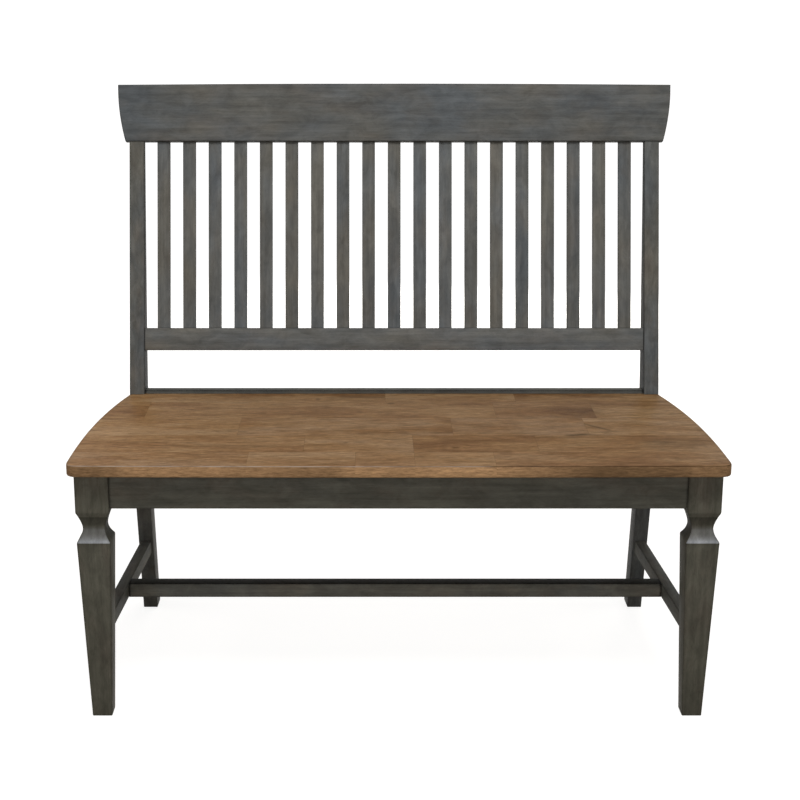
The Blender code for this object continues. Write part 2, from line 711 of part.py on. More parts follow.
def corner_block_outline(end):
    """Plan of a corner block on the +X side, notched round its leg. The end is -1 front, 1 rear."""
    if end < 0:
        leg_x = HALF_FRONT - LEG_BLOCK - FIT
        leg_y = LEG_BLOCK + FIT
        rail_y = APRON_SETBACK + APRON_THICKNESS + FIT
    else:
        leg_x = HALF_BACK - POST_WIDTH - FIT
        leg_y = SEAT_RAIL_DEPTH - FIT
        rail_y = REAR_RAIL_FRONT - FIT
    inward = -end
    wing_end_y = leg_y + inward * BLOCK_WING
    flat_start_y = wing_end_y - inward * BLOCK_FLAT
    wing_face_y = rail_y + inward * BLOCK_WING_THICKNESS
    wing_end_x = leg_x - BLOCK_WING
    return [
        Vector((leg_x, rail_y)),
        Vector((wing_end_x, rail_y)),
        Vector((wing_end_x, wing_face_y)),
        Vector((wing_end_x + BLOCK_FLAT, wing_face_y)),
        Vector((apron_inner_face(flat_start_y) - FIT - BLOCK_WING_THICKNESS, flat_start_y)),
        Vector((apron_inner_face(wing_end_y) - FIT - BLOCK_WING_THICKNESS, wing_end_y)),
        Vector((apron_inner_face(wing_end_y) - FIT, wing_end_y)),
        Vector((apron_inner_face(leg_y) - FIT, leg_y)),
        Vector((leg_x, leg_y)),
    ]


def screw_profile(shank_length):
    """Pan head above, shank and point below; zero is under the head. Shares shape the pan."""
    shank = SCREW_SHANK / 2
    head = SCREW_HEAD / 2
    return [
        (0, SCREW_HEAD_HEIGHT),
        (head * 0.55, SCREW_HEAD_HEIGHT * 0.92),
        (head * 0.88, SCREW_HEAD_HEIGHT * 0.62),
        (head, SCREW_HEAD_HEIGHT * 0.15),
        (head, 0),
        (shank, 0),
        (shank, SCREW_TIP - shank_length),
        (0, -shank_length),
    ]


def add_screw(name, bench, rest, aim, through, bite):
    """Screw whose head rests on a face at the point rest and whose shank runs along aim."""
    length = through + bite
    direction = Vector(aim).normalized()
    turn_to = Vector((0, 0, -1)).rotation_difference(direction).to_euler()
    place = Vector(rest) - direction * FIT
    screw = add_piece(name, turned_mesh(name, screw_profile(length)), "zinc_steel", bench,
                      location=place, rotation=turn_to)
    turn(screw, SCREW_SIDES)
    bm = bmesh.new()
    drill_length = length + 2 * FIT
    radius = SCREW_SHANK / 2 + SCREW_CLEARANCE
    bmesh.ops.create_cone(bm, cap_ends=True, segments=SCREW_SIDES, depth=drill_length,
                          radius1=radius, radius2=radius,
                          matrix=Matrix.Translation((0, 0, 2 * FIT - drill_length / 2)))
    hole = add_cutter(name + "_hole", finish_mesh(bm, name + "_hole"), bench, location=place)
    hole.rotation_euler = turn_to
    return hole


def build_corner_blocks(bench, rails, seat):
    """Blocks in the four corners, each with a screw into both of its rails and one into the seat."""
    top = SEAT_UNDERSIDE - FIT
    middle_z = top - BLOCK_HEIGHT / 2
    number = 0
    for end, end_name in ((-1, "front"), (1, "rear")):
        outline = corner_block_outline(end)
        for side, side_name in ((-1, "left"), (1, "right")):
            number += 1
            name = f"corner_block_{end_name}_{side_name}"
            points = [Vector((side * p.x, p.y)) for p in outline]
            block = add_piece(name, finish_mesh(plate(name, points, BLOCK_HEIGHT), name),
                              "frame_stain", bench, location=(0, 0, middle_z))
            # Screw into the rail that runs along X
            spot_x = (outline[2].x + outline[3].x) / 2
            holes = [add_screw(f"block_screw_{2 * number - 1}", bench,
                               (side * spot_x, outline[2].y, middle_z), (0, end, 0),
                               BLOCK_WING_THICKNESS, BLOCK_SCREW_BITE)]
            cut(rails[end_name], holes[0])
            # Screw into the side apron, square to its face
            spot = (outline[4] + outline[5]) / 2
            along = outline[5] - outline[4]
            aim = Vector((abs(along.y), -along.x * math.copysign(1, along.y), 0))
            aim.x *= side
            holes.append(add_screw(f"block_screw_{2 * number}", bench,
                                   (side * spot.x, spot.y, middle_z), aim,
                                   BLOCK_WING_THICKNESS, BLOCK_SCREW_BITE))
            cut(rails[side_name], holes[1])
            # Screw up into the seat, in the thick of the block
            thick = (outline[3] + outline[4]) / 2
            spot = thick + (outline[8] - thick) * SEAT_SCREW_PLACE
            holes.append(add_screw(f"seat_screw_{number}", bench,
                                   (side * spot.x, spot.y, top - BLOCK_HEIGHT), (0, 0, 1),
                                   BLOCK_HEIGHT, SEAT_SCREW_BITE))
            cut(seat, holes[2])
            cut(block, *holes)


# Assembly

def main():
    crest_back = up_the_slope(CREST_TOP, CREST_THICKNESS - CREST_PROUD).x
    foot_back = rear_leg_front_face(0) + REAR_FOOT_DEPTH
    overall_middle = (max(crest_back, foot_back) - SEAT_FRONT_OVERHANG) / 2
    bench = add_empty("bench_frame", location=(0, -overall_middle, 0))
    back = add_empty("back_frame", bench, location=(0, SEAT_RAIL_DEPTH, SEAT_HEIGHT),
                     rotation=(-BACK_RAKE, 0, 0))

    seat = build_seat(bench)
    front_legs = {name: build_front_leg(f"front_leg_{name}", side, bench)
                  for name, side in (("left", -1), ("right", 1))}
    rear_legs = {name: build_rear_leg(f"rear_leg_{name}", side, bench)
                 for name, side in (("left", -1), ("right", 1))}

    front_apron, front_bar = build_front_apron(bench)
    rear_rail, rear_bar = build_rear_seat_rail(bench)
    lower_rail, lower_bar = build_lower_back_rail(back)
    crest = build_crest_rail(back)
    slat_mortises = build_slats(back)
    centre_bar = build_centre_stretcher(bench)

    apron_tenon = (SIDE_TENON_LENGTH, APRON_HEIGHT - 2 * APRON_TENON_SHOULDER,
                   APRON_TENON_THICKNESS, 0.0)
    stretcher_tenon = (STRETCHER_TENON_LENGTH, STRETCHER_HEIGHT - 2 * STRETCHER_TENON_SHOULDER,
                       STRETCHER_TENON_THICKNESS, 0.0)
    side_aprons = {}
    for name, side in (("left", -1), ("right", 1)):
        apron, apron_bar = build_side_rail(
            f"side_apron_{name}", side, APRON_FRONT_X, SEAT_UNDERSIDE - FIT, APRON_HEIGHT,
            APRON_THICKNESS, apron_tenon, bench)
        stretcher, stretcher_bar = build_side_rail(
            f"side_stretcher_{name}", side, STRETCHER_FRONT_X, STRETCHER_TOP, STRETCHER_HEIGHT,
            STRETCHER_THICKNESS, stretcher_tenon, bench)
        side_aprons[name] = apron
        cut(front_legs[name], front_bar, apron_bar, stretcher_bar)
        cut(rear_legs[name], rear_bar, lower_bar, apron_bar, stretcher_bar)
        cut(stretcher, centre_bar)

    cut(lower_rail, slat_mortises)
    cut(crest, slat_mortises, build_post_mortises(back))
    rails = {"front": front_apron, "rear": rear_rail, **side_aprons}
    build_corner_blocks(bench, rails, seat)


main()
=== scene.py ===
"""Looks of the slat-back bench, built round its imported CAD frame."""

import math
import random

import bpy
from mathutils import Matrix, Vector


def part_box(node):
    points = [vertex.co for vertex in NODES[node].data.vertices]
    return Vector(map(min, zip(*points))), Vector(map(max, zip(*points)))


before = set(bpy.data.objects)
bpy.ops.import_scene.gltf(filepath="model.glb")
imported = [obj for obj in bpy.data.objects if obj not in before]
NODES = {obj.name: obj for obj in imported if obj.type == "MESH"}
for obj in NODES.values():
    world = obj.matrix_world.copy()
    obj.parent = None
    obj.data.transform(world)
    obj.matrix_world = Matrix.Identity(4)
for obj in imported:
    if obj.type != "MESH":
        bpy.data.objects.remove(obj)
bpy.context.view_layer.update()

# Places that the frame gives
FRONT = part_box("front_leg_left")[0].y        # the front legs' front faces
SEAT_LOW, SEAT_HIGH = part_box("seat")

# Camera, in metres, degrees and pixels: fitted to the photograph's edges
CAMERA_SIDE = -0.0537
CAMERA_BACK = 2.5069                         # in front of the front legs
CAMERA_HEIGHT = 1.2285
CAMERA_PITCH = 15.206
CAMERA_FOCAL_PIXELS = 1622.8
CAMERA_CENTRE = (365.4, 406.3)               # where the optical axis meets the picture
PICTURE = 800
SENSOR = 36.0

# Studio
WORLD_FILL = 0.07
FLOOR_SIZE = 400.0
FLOOR_COLOUR = (0.42, 0.40, 0.37, 1.0)
FLOOR_ROUGHNESS = 0.9
FLOOR_GLOW = 0.85                            # near the bench, so that its shadow shows
FLOOR_FADE = (1.2, 3.5)                      # distances between which the floor turns white
LAMPS = (
    # name, place, point it faces, width and height, watts, whether it shows in gloss
    ("key", (0.15, -1.3, 2.6), (0.0, 0.0, 0.55), (1.8, 0.9), 43, True),
    ("fill", (-0.5, -3.45, 1.3), (0.0, 0.0, 0.5), (1.6, 1.0), 24, True),
    ("back", (0.8, 3.4, 0.85), (0.0, 0.3, 0.55), (2.0, 1.2), 60, False),
    ("left", (-2.7, 0.3, 1.1), (0.0, 0.3, 0.45), (1.6, 1.2), 12, False),
    ("right", (2.7, 0.3, 1.1), (0.0, 0.3, 0.45), (1.6, 1.2), 12, False),
)


# Shader building blocks

class Shader:
    """Node tree of one material, with short calls for the nodes that the materials share."""

    def __init__(self, name):
        self.material = bpy.data.materials.new(name)
        self.material.use_nodes = True
        self.tree = self.material.node_tree
        self.bsdf = self.tree.nodes["Principled BSDF"]
        self.output = self.tree.nodes["Material Output"]

    def node(self, kind, inputs=(), **settings):
        node = self.tree.nodes.new(kind)
        for key, value in settings.items():
            setattr(node, key, value)
        for key, value in dict(inputs).items():
            self.feed(node.inputs[key], value)
        return node

    def feed(self, socket, value):
        """Link an output to a socket, or set a constant on it."""
        if isinstance(value, bpy.types.NodeSocket):
            self.tree.links.new(value, socket)
        else:
            socket.default_value = value

    def math(self, operation, *values, clamp=False):
        node = self.node("ShaderNodeMath", enumerate(values), operation=operation, use_clamp=clamp)
        return node.outputs[0]

    def product(self, first, *others):
        for other in others:
            first = self.math("MULTIPLY", first, other)
        return first

    def blend(self, share, first, second):
        """Number: first where the share is 0, second where it is 1."""
        return self.node("ShaderNodeMix", {0: share, 2: first, 3: second}).outputs[0]

    def mix(self, share, first, second):
        """Colour: first where the share is 0, second where it is 1. A constant one is a triple."""
        node = self.node("ShaderNodeMix", {0: share}, data_type="RGBA")
        for socket, colour in ((6, first), (7, second)):
            if isinstance(colour, tuple):
                colour = (*colour, 1.0)
            self.feed(node.inputs[socket], colour)
        return node.outputs[2]

    def vector(self, operation, *values):
        return self.node("ShaderNodeVectorMath", enumerate(values), operation=operation).outputs[0]

    def scaled(self, vector, factor):
        node = self.node("ShaderNodeVectorMath", {"Vector": vector, "Scale": factor}, operation="SCALE")
        return node.outputs[0]

    def split(self, vector):
        return self.node("ShaderNodeSeparateXYZ", {0: vector}).outputs

    def join(self, x, y, z):
        return self.node("ShaderNodeCombineXYZ", {0: x, 1: y, 2: z}).outputs[0]

    def place(self):
        """Place in the room, in metres, because each node of the frame keeps its place in its mesh."""
        return self.node("ShaderNodeTexCoord").outputs["Object"]

    def normal(self):
        return self.split(self.node("ShaderNodeNewGeometry").outputs["Normal"])

    def noise(self, vector, detail, roughness=0.5, distortion=0.0, scale=1.0):
        node = self.node("ShaderNodeTexNoise", {
            "Vector": vector, "Scale": scale, "Detail": detail, "Roughness": roughness,
            "Distortion": distortion})
        return node.outputs[0]

    def spread(self, value, low, high, to_low=0.0, to_high=1.0, smooth=False):
        """Straight run, or a smooth one, from to_low at low to to_high at high, and level beyond them."""
        node = self.node("ShaderNodeMapRange", {
            "Value": value, "From Min": low, "From Max": high, "To Min": to_low, "To Max": to_high})
        if smooth:
            node.interpolation_type = "SMOOTHSTEP"
        return node.outputs[0]

    def ramp(self, value, stops):
        node = self.node("ShaderNodeValToRGB", {0: value})
        elements = node.color_ramp.elements
        while len(elements) < len(stops):
            elements.new(0.5)
        for element, (position, colour) in zip(elements, stops):
            element.position = position
            element.color = (*colour, 1.0)
        return node.outputs[0]

    def grade(self, value, stops):
        """Shares from 0 to 1 at rising values, joined by straight runs."""
        low, high = stops[0][0], stops[-1][0]
        run = self.spread(value, low, high)
        return self.ramp(run, [((at - low) / (high - low), (share,) * 3) for at, share in stops])

    def bump(self, height, strength, distance):
        node = self.node("ShaderNodeBump", {
            "Strength": strength, "Distance": distance, "Height": height})
        self.feed(self.bsdf.inputs["Normal"], node.outputs[0])


# Parts of the look that both woods share

PORE_RANGE = (0.60, 0.70)                    # noise between which a pore sets in
STREAK_RANGE = (0.3, 0.7)                    # noise over which a streak changes the roughness
PORE_ROUGHNESS = 0.15
STREAK_RELIEF = 0.4
FIBRE_RELIEF = 0.3
PORE_RELIEF = -0.6
GLUE_RELIEF = 1.5
WOOD_BUMP = (0.30, 0.0004)                   # strength, and depth in metres
GRAIN_SHIFT = 40.0                           # at most, so that no two boards share their figure
ARRIS_SAMPLES = 6
ARRIS_RANGE = (0.62, 0.86)                   # openness between which the dark of an arris ends


def grain_place(shader, axis, seed, tilt):
    """Place along and across the grain, in a part of the figure that no other board uses."""
    draw = random.Random(seed)
    shift = tuple(draw.uniform(-GRAIN_SHIFT, GRAIN_SHIFT) for _ in range(3))
    turned = shader.node("ShaderNodeMapping", {
        "Vector": shader.place(), "Rotation": (tilt, 0.0, 0.0)}, vector_type="POINT").outputs[0]
    x, y, z = shader.split(turned)
    order = {"x": (x, y, z), "y": (y, x, z), "z": (z, x, y)}[axis]
    return shader.vector("ADD", shader.join(*order), shift)


def wood_layers(shader, place, figure):
    """Noise of each layer of a figure, drawn out along the grain."""
    layers = {}
    for name, (along, across, *settings) in figure.items():
        stretched = shader.vector("MULTIPLY", place, (along, across, across))
        layers[name] = shader.noise(stretched, *settings)
    return layers


def darker_arrises(shader, shade, reach):
    """Factor that falls towards the edges of a piece, where the stain gathers."""
    inside = shader.node("ShaderNodeAmbientOcclusion", {"Distance": reach}, samples=ARRIS_SAMPLES,
                         inside=True, only_local=True).outputs["AO"]
    return shader.spread(inside, *ARRIS_RANGE, shade, 1.0)


def finish_wood(shader, layers, pore, gloss, roughness, glue=None):
    """Gloss, roughness and relief, the last two from streaks, fibres, pores and glue lines."""
    shader.bsdf.inputs["Specular IOR Level"].default_value = gloss
    rough = shader.spread(layers["streak"], *STREAK_RANGE, *roughness)
    rough = shader.math("MULTIPLY_ADD", pore, PORE_ROUGHNESS, rough)
    shader.feed(shader.bsdf.inputs["Roughness"], rough)
    height = shader.product(layers["streak"], STREAK_RELIEF)
    height = shader.math("MULTIPLY_ADD", layers["fibre"], FIBRE_RELIEF, height)
    height = shader.math("MULTIPLY_ADD", pore, PORE_RELIEF, height)
    if glue is not None:
        height = shader.math("MULTIPLY_ADD", glue, GLUE_RELIEF, height)
    shader.bump(height, *WOOD_BUMP)


# Stained frame

BACK_RAKE = math.radians(14.67)              # slope of the slats and of the rails that hold them
FRAME_COOL = (0.098, 0.105, 0.109)
FRAME_WARM = (0.117, 0.112, 0.098)
FRAME_OLIVE = (0.116, 0.110, 0.086)
FRAME_BROWN = (0.124, 0.104, 0.083)
FRAME_GLOSS = 0.01
FRAME_ROUGHNESS = (0.42, 0.52)
SLAT_VARIATION = 0.05                        # of a slat's lightness, either way

FRAME_LOOKS = {
    # grain axis, tilt, olive share, lightness, how dark the arrises go and over what distance
    "slat": ("z", BACK_RAKE, 0.0, 1.20, 0.85, 0.0016),
    "crest_rail": ("x", BACK_RAKE, 0.0, 1.04, 0.60, 0.0040),
    "lower_back_rail": ("x", BACK_RAKE, 0.0, 1.28, 0.50, 0.0020),
    # The rear seat rail's low lightness is painted shade: the contact shadow where its face rises over the
    # seat
    "rear_seat_rail": ("x", 0.0, 0.3, 0.84, 0.12, 0.0055),
    "front_leg": ("z", 0.0, 1.0, 1.08, 0.50, 0.0045),
    "rear_leg": ("z", 0.0, 0.1, 1.10, 0.55, 0.0035),
    "front_apron": ("x", 0.0, 0.8, 1.08, 0.50, 0.0045),
    "side_apron": ("y", 0.0, 0.6, 1.0, 0.50, 0.0040),
    "centre_stretcher": ("x", 0.0, 0.5, 1.42, 0.15, 0.0055),
    "side_stretcher": ("y", 0.0, 0.5, 1.10, 0.35, 0.0040),
    "corner_block": ("x", 0.0, 0.5, 1.0, 0.60, 0.0030),
}
FRAME_FIGURE = {
    # noise per metre along and across the grain, detail, roughness, distortion
    "cloud": (3.5, 9.0, 3.0, 0.6),
    "tint": (11.0, 24.0, 3.0, 0.6),
    "blotch": (20.0, 42.0, 4.0, 0.65, 0.6),
    "streak": (6.0, 140.0, 4.0, 0.6, 0.3),
    "fibre": (45.0, 1000.0, 2.0, 0.6),
    "pore": (150.0, 2300.0, 1.0),
}
FRAME_CONTRAST = {
    # noise low and high, then the lightness at both
    "streak": (0.33, 0.67, 0.86, 1.14),
    "blotch": (0.34, 0.66, 0.82, 1.18),
    "fibre": (0.3, 0.7, 0.93, 1.07),
}
FRAME_PORE_SHADE = 0.80
WARM_CLOUDS = (0.38, 0.62)                   # noise over which the stain turns from cool to warm
BROWN_CLOUDS = (0.48, 0.68)                  # noise over which it turns brown
BROWN_SHARE = 0.45                           # at most
BROWN_SHARE_BACK = 0.28                      # at most, where the stain holds no olive

# The front legs' coves: height above the floor, then how dark the painted shade under the block is,
# and how far the painted highlight on the up-facing front, which ends at the shoulder, covers the stain
COVE_SHADES = ((0.0, 0.88), (0.3060, 0.83), (0.3112, 0.78), (0.3120, 0.64), (0.3145, 0.82),
               (0.3410, 0.84), (0.3444, 0.66), (0.3510, 0.60), (0.3578, 0.52), (0.3588, 0.92),
               (0.3662, 0.92), (0.3680, 1.0), (0.4400, 1.0))
COVE_HIGHLIGHT_HEIGHTS = ((0.3134, 0.0), (0.3145, 1.0), (0.3168, 0.98), (0.3203, 0.56), (0.3237, 0.38),
              (0.3272, 0.28), (0.3341, 0.28), (0.3375, 0.12), (0.3415, 0.0))
COVE_HEIGHTS = ((0.3140, 0.0), (0.3180, 1.0), (0.3630, 1.0), (0.3670, 0.0))
# Colour of the painted highlight on the coves' up-facing fronts
COVE_HIGHLIGHT_COLOUR = (0.360, 0.370, 0.385)
COVE_SIDE_SHADE = 0.72                       # of the coves' left and right faces

# Faces that the rest of the bench keeps in shade
LEG_INSIDE_SHADE = 0.80                      # of the front legs' faces that look at each other
POST_INSIDE_SHADE = 0.45                     # of the rear legs' such faces over the seat
POST_SHADE_RISE = 0.005                      # height over which it sets in, up to the seat's top
DIM_TOP_SHADE = 0.17                         # of the centre stretcher's top

# Parts of a face's normal between which it starts to count as one that looks that way
SIDEWAYS = (0.4, 0.6)
FORWARD = (-0.4, -0.6)
UPWARD = (0.6, 0.8)
INWARD = (-0.2, -0.4)                        # times the distance from the bench's middle, in metres


def stain_colour(shader, layers, olive):
    """Clouds of cool and warm grey, with the share of olive that the piece has, and brown ones."""
    colour = shader.mix(shader.spread(layers["cloud"], *WARM_CLOUDS), FRAME_COOL, FRAME_WARM)
    colour = shader.mix(olive, colour, FRAME_OLIVE)
    most = BROWN_SHARE if olive else BROWN_SHARE_BACK
    return shader.mix(shader.spread(layers["tint"], *BROWN_CLOUDS, 0.0, most), colour, FRAME_BROWN)


def cove_look(shader, colour):
    """Painted shade under the block of a front leg, and a painted highlight on the front above the
    shoulder.
    """
    height = shader.split(shader.place())[2]
    normal = shader.normal()
    sideways = shader.spread(shader.math("ABSOLUTE", normal[0]), *SIDEWAYS)
    forward = shader.spread(normal[1], *FORWARD)
    # Painted highlight on the coves' up-facing fronts, set by height
    painted_highlight = shader.product(shader.grade(height, COVE_HIGHLIGHT_HEIGHTS), forward)
    colour = shader.mix(painted_highlight, colour, COVE_HIGHLIGHT_COLOUR)
    cove_side = shader.product(sideways, shader.grade(height, COVE_HEIGHTS))
    side_shade = shader.blend(cove_side, 1.0, COVE_SIDE_SHADE)
    return shader.scaled(colour, shader.product(shader.grade(height, COVE_SHADES), side_shade))


def looks_inwards(shader):
    """1 on the faces of the legs that look at each other, 0 elsewhere."""
    from_middle = shader.split(shader.place())[0]
    return shader.spread(shader.product(shader.normal()[0], from_middle), *INWARD)


def kept_in_shade(shader, kind):
    """Factor that is below 1 on the faces that the rest of the bench keeps in shade."""
    if kind == "front_leg":
        return shader.blend(looks_inwards(shader), 1.0, LEG_INSIDE_SHADE)
    if kind == "rear_leg":
        height = shader.split(shader.place())[2]
        over_seat = shader.spread(height, SEAT_HIGH.z - POST_SHADE_RISE, SEAT_HIGH.z)
        return shader.blend(shader.product(looks_inwards(shader), over_seat), 1.0, POST_INSIDE_SHADE)
    if kind == "centre_stretcher":
        return shader.spread(shader.normal()[2], *UPWARD, 1.0, DIM_TOP_SHADE)
    return 1.0


def frame_wood(name, kind):
    """Charcoal stain: soft clouds and blotches, with faint streaks, fibres and pores."""
    axis, tilt, olive, lightness, edge_shade, edge_reach = FRAME_LOOKS[kind]
    shader = Shader(name)
    seed = sum(ord(letter) * weight for weight, letter in enumerate(name, 7))
    if kind == "slat":
        lightness *= 1 + random.Random(seed).uniform(-SLAT_VARIATION, SLAT_VARIATION)
    layers = wood_layers(shader, grain_place(shader, axis, seed, tilt), FRAME_FIGURE)
    pore = shader.spread(layers["pore"], *PORE_RANGE)
    colour = stain_colour(shader, layers, olive)
    if kind == "front_leg":
        colour = cove_look(shader, colour)
    factor = shader.product(
        lightness,
        *(shader.spread(layers[layer], *contrast) for layer, contrast in FRAME_CONTRAST.items()),
        shader.spread(pore, 0.0, 1.0, 1.0, FRAME_PORE_SHADE),
        darker_arrises(shader, edge_shade, edge_reach),
        kept_in_shade(shader, kind))
    shader.feed(shader.bsdf.inputs["Base Color"], shader.scaled(colour, factor))
    finish_wood(shader, layers, pore, FRAME_GLOSS, FRAME_ROUGHNESS)
    return shader.material


# Seat of edge-glued staves

SEAT_ROWS = (
    # depth where the row ends, then the lightness and the right end of each of its staves
    (0.062, ((0.42, -0.017), (0.72, 0.222), (0.40, 0.6))),
    (0.170, ((0.25, -0.445), (0.40, 0.178), (0.26, 0.355), (0.50, 0.6))),
    (0.279, ((0.62, -0.272), (0.46, 0.096), (0.38, 0.328), (0.60, 0.6))),
    (0.378, ((0.44, -0.156), (0.66, 0.026), (0.24, 0.233), (0.48, 0.6))),
    (0.600, ((0.46, -0.245), (0.58, -0.070), (0.46, 0.026), (0.66, 0.156), (0.36, 0.6))),
)
NUMBERS_PER_ROW = 7                          # more than any row has staves
STAVE_SHIFT = (30.0, 17.0, 23.0)             # at most, so that no two staves share their figure
SEAT_MARKS = (
    # place along, place in front of the rear edge, half length, half width, turn, darkness
    (0.308, 0.276, 0.021, 0.0042, -8, 0.80),
    (0.347, 0.228, 0.030, 0.0034, 45, 0.58),
    (0.333, 0.125, 0.045, 0.0280, 0, 0.26),
    (-0.060, 0.026, 0.060, 0.0110, 0, 0.24),
    (0.096, 0.352, 0.007, 0.0045, 0, 0.40),
    (-0.141, 0.040, 0.004, 0.0035, 0, 0.55),
    (-0.007, 0.071, 0.006, 0.0030, 0, 0.55),
    (0.457, 0.210, 0.006, 0.0020, 0, 0.55),
    (0.470, 0.330, 0.060, 0.0300, 0, 0.30),
    (-0.270, 0.345, 0.080, 0.0070, 0, 0.18),
    (0.120, 0.310, 0.070, 0.0050, 0, 0.22),
)
SEAT_KNOTS = (
    # place along, place in front of the rear edge, size
    (0.333, 0.137, 0.015),
    (0.096, 0.352, 0.009),
    (-0.141, 0.040, 0.008),
)
KNOT_REACH = (3.5, 2.5)                      # along and across the grain, times the knot's size
KNOT_PUSH = 0.8                              # how far the grain gives way beside a knot
SEAT_FIGURE = {
    # noise per metre along and across the grain, detail, roughness, distortion
    "cloud": (4.5, 17.0, 4.0, 0.6),
    "band": (7.0, 30.0, 5.0, 0.66, 0.9),
    "streak": (13.0, 115.0, 5.0, 0.72, 0.9),
    "line": (26.0, 260.0, 4.0, 0.70),
    "mineral": (9.0, 55.0, 5.0, 0.70, 1.0),
    "fleck": (70.0, 260.0, 3.0, 0.6),
    "fibre": (50.0, 1100.0, 2.0, 0.6),
    "pore": (170.0, 2400.0, 1.0),
}
SEAT_CONTRAST = {
    # noise low and high, then the lightness at both
    "line": (0.33, 0.67, 0.78, 1.22),
    "fleck": (0.35, 0.65, 0.84, 1.16),
    "fibre": (0.3, 0.7, 0.92, 1.08),
}
SEAT_PORE_SHADE = 0.72
MINERAL_DARK = (0.55, 0.68, 1.0, 0.70)       # noise low and high, then the lightness at both
MINERAL_PALE = (0.45, 0.34, 1.0, 1.16)       # the other end of the same noise, from high to low

# Tone of the stain: where it starts, and what the stave and the layers of its figure add
TONE_START = -0.53
TONE_OF_STAVE = 0.80
TONE_OF_LAYERS = (
    # layer, noise low and high, share
    ("band", 0.35, 0.65, 0.44),
    ("streak", 0.33, 0.67, 0.36),
    ("cloud", 0.35, 0.65, 0.62),
)
SEAT_TONES = (
    (0.0, (0.172, 0.084, 0.034)),
    (0.35, (0.236, 0.125, 0.053)),
    (0.65, (0.300, 0.172, 0.076)),
    (1.0, (0.366, 0.228, 0.114)),
)
# Place along the bench, then how light the seat is there, as a share of the lightest: partly the stain,
# partly painted light that is strongest on the left
SEAT_STAIN_AND_LIGHT_LIGHTEST = 1.37
SEAT_STAIN_AND_LIGHT = ((-0.53, 0.95), (-0.44, 0.86), (-0.34, 0.77), (-0.15, 0.72), (0.20, 0.70), (0.53, 0.67))
DEPTH_TONE = (0.0, 0.40, 0.86, 1.03)         # depths, then the lightness at both
GLUE_LINE = (0.0002, 0.0008, 0.82, 1.0)      # distances from a joint, then the lightness at both

# Haze: greyer, in clouds that each stave has more or less of, and a painted sheen that grows towards the
# front edge
SEAT_HAZE_AND_SHEEN = (0.262, 0.170, 0.108)
HAZE_CLOUDS = (0.42, 0.60, 0.0, 0.45)        # noise low and high, then the share at both
PAINTED_SHEEN_DEPTHS = (0.04, 0.44, -0.26, 0.26)      # depths, then what the painted sheen adds to the share
SEAT_GLOSS = 0.01
SEAT_ROUGHNESS = (0.36, 0.46)
SEAT_ARRIS_SHADE = 0.40
SEAT_ARRIS_REACH = 0.0070

# Front edge, with its finer figure, and the rounded arris over it
FRONT_END = (0.010, 0.016)                   # distances behind the front edge over which both end
ARRIS_START = (0.0002, 0.0008)               # distances under the top over which the arris sets in
EDGE_START = (0.0012, 0.0021)                # and over which the edge takes its place
EDGE_LEVEL = 0.56                            # tone of the front edge
EDGE_HAZE = 0.30
EDGE_FIGURE = (60.0, 300.0, 380.0)           # noise per metre along, across and up
EDGE_DETAIL = 5.0
EDGE_NOISE_ROUGHNESS = 0.75
EDGE_CONTRAST = (0.35, 0.65, 0.68, 1.42)     # noise low and high, then the lightness at both
EDGE_TONE_LIGHTEST = 1.68
EDGE_TONE = ((-0.53, 0.50), (-0.48, 0.50), (-0.42, 0.84), (-0.36, 0.80), (-0.28, 0.75), (-0.13, 0.56),
             (-0.11, 0.60), (-0.07, 0.86), (-0.03, 0.86), (0.0, 0.78), (0.06, 0.92), (0.13, 0.98),
             (0.17, 0.77), (0.20, 0.72), (0.25, 0.57), (0.32, 0.33), (0.38, 0.39), (0.45, 0.42),
             (0.48, 0.55), (0.53, 0.55))
ARRIS_SHADE = (0.02, 0.20, 0.60, 0.36)       # places along the bench, then the lightness at both
# How far the painted highlight on the front arris reaches along the bench, at most, and the noise that
# breaks it up
ARRIS_HIGHLIGHT_SHARE = ((-0.53, 1.0), (-0.10, 1.0), (0.02, 0.45), (0.146, 0.75), (0.150, 0.04), (0.53, 0.0))
ARRIS_HIGHLIGHT_COLOUR = (0.400, 0.315, 0.255)
ARRIS_HIGHLIGHT_SCALE = 16.0
ARRIS_HIGHLIGHT_DETAIL = 5.0
ARRIS_HIGHLIGHT_RANGE = (0.33, 0.53)


def seat_staves(shader, x, depth):
    """Lightness of the stave at a place, a number of its own, and the distance to the nearest joint."""
    lightness, number, seam = 0.0, 0.0, 1.0
    start = -1.0
    for row, (end, staves) in enumerate(SEAT_ROWS):
        after_start = shader.math("GREATER_THAN", depth, start)
        before_end = shader.math("LESS_THAN", depth, end)
        in_row = shader.product(after_start, before_end)
        out_of_row = shader.math("SUBTRACT", 1.0, in_row)
        near = shader.math("ABSOLUTE", shader.math("SUBTRACT", depth, end))
        seam = shader.math("MINIMUM", seam, near)
        level, stave = staves[0][0], float(row * NUMBERS_PER_ROW)
        for (previous, joint), (tone, _) in zip(staves, staves[1:]):
            past = shader.math("GREATER_THAN", x, joint)
            level = shader.math("MULTIPLY_ADD", past, tone - previous, level)
            stave = shader.math("ADD", stave, past)
            near = shader.math("ABSOLUTE", shader.math("SUBTRACT", x, joint))
            seam = shader.math("MINIMUM", seam, shader.math("ADD", near, out_of_row))
        lightness = shader.math("MULTIPLY_ADD", level, in_row, lightness)
        number = shader.math("MULTIPLY_ADD", stave, in_row, number)
        start = end
    return lightness, number, seam


